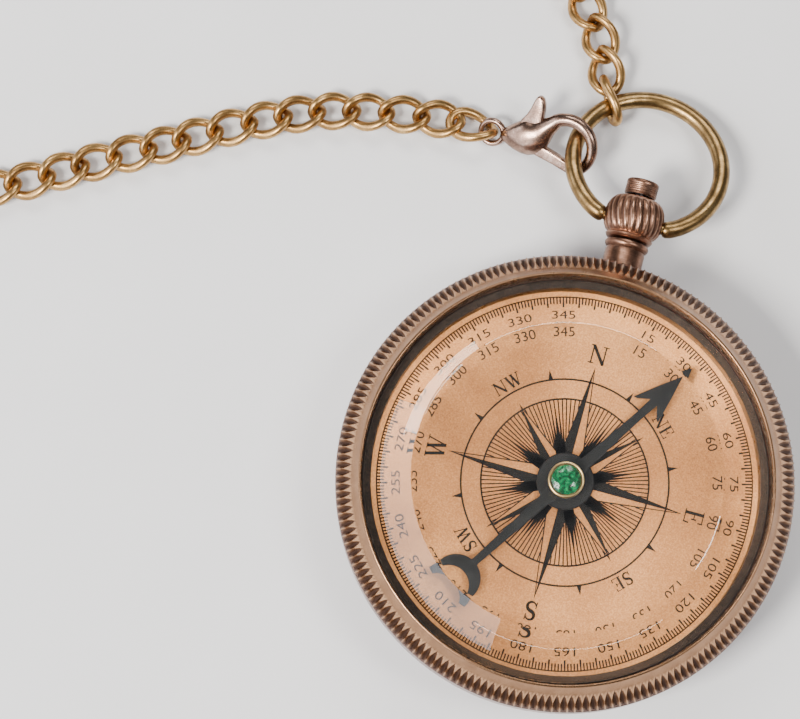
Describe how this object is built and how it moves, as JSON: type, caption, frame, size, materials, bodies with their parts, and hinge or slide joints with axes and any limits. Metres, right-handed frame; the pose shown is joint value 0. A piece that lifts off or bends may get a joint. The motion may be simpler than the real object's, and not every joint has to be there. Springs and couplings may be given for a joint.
{
  "type": "handheld compass",
  "caption": "Round open-faced pocket compass with a fluted bezel, bevelled glass, barbed needle, push-button pendant, wire bow and a curb chain with a spring clasp.",
  "frame": {"origin": "middle of the case's flat back face", "axes": "+Z out of the dial, +Y from the dial's middle to the pendant, +X towards the dial's east"},
  "size_m": [0.1505, 0.1093, 0.017],
  "materials": {
    "antique_copper": "antiqued copper plate, polished on the raised edges",
    "antique_brass": "brushed yellow brass, darkened",
    "chain_brass": "drawn brass wire, satin",
    "pale_bronze": "cast, tumbled, pale bronze",
    "turned_brass": "turned",
    "dial_copper": "fine grained copper colour, printed in black",
    "dark_ring": "dark oxidised",
    "needle_black": "matt black",
    "hard_steel": "ground",
    "red_jewel": "polished",
    "green_gem": "faceted, polished",
    "clear_glass": "polished, bevelled",
    "seal_rubber": "matt"
  },
  "bodies": {
    "case": {"case_cup": "antique_copper", "bezel_ring": "antique_copper", "glass_lens": "clear_glass", "glass_gasket": "seal_rubber", "dial_plate": "dial_copper", "dial_ring": "dark_ring", "pivot_post": "turned_brass", "pivot_pin": "hard_steel", "pendant_neck": "antique_copper", "pendant_ball": "antique_copper", "lever_bracket": "turned_brass", "lever_pin": "hard_steel", "lever_spring": "hard_steel", "bracket_screw_1": "hard_steel", "bracket_screw_2": "hard_steel", "button_spring": "hard_steel", "chain_run": "chain_brass"},
    "needle": {"needle_blade": "needle_black", "needle_hub": "needle_black", "bearing_jewel": "red_jewel", "jewel_cup": "turned_brass", "green_stone": "green_gem"},
    "button": {"button_cap": "antique_copper", "push_rod": "hard_steel", "rod_cross_pin": "hard_steel"},
    "lever": {"arrest_lever": "turned_brass"},
    "bow": {"bow_ring": "antique_brass", "chain_end_link": "chain_brass", "clasp_link": "chain_brass", "clasp_body": "pale_bronze", "gate_pin": "pale_bronze", "gate_spring": "hard_steel"},
    "gate": {"clasp_gate": "pale_bronze"}
  },
  "joints": [
    {"name": "needle_spin", "type": "hinge", "parent": "case", "child": "needle", "pos_m": [0, 0, 0.01085], "axis": [0, 0, 1], "continuous": true},
    {"name": "button_press", "type": "slide", "parent": "case", "child": "button", "axis": [0, -1, 0], "range_m": [0, 0.0012], "stiffness_N_per_m": 1200, "springref_m": -0.0005, "deforming": ["button_spring"]},
    {"name": "lever_tilt", "type": "hinge", "parent": "case", "child": "lever", "pos_m": [0, 0.014, 0.0056], "axis": [-1, 0, 0], "range_deg": [0, 2.6]},
    {"name": "bow_swing", "type": "hinge", "parent": "case", "child": "bow", "pos_m": [0, 0.037, 0.0078], "axis": [1, 0, 0], "range_deg": [-90, 125]},
    {"name": "gate_open", "type": "hinge", "parent": "bow", "child": "gate", "pos_m": [-0.01634, 0.0454, 0.00321], "axis": [-0.2506, -0.515, 0.8197], "range_deg": [0, 3.5], "stiffness_Nm_per_rad": 0.004, "springref_deg": -17.19, "deforming": ["gate_spring"]}
  ],
  "couplings": [
    {"joint": "lever_tilt", "follows": "button_press", "rad_per_m": 36.5}
  ]
}
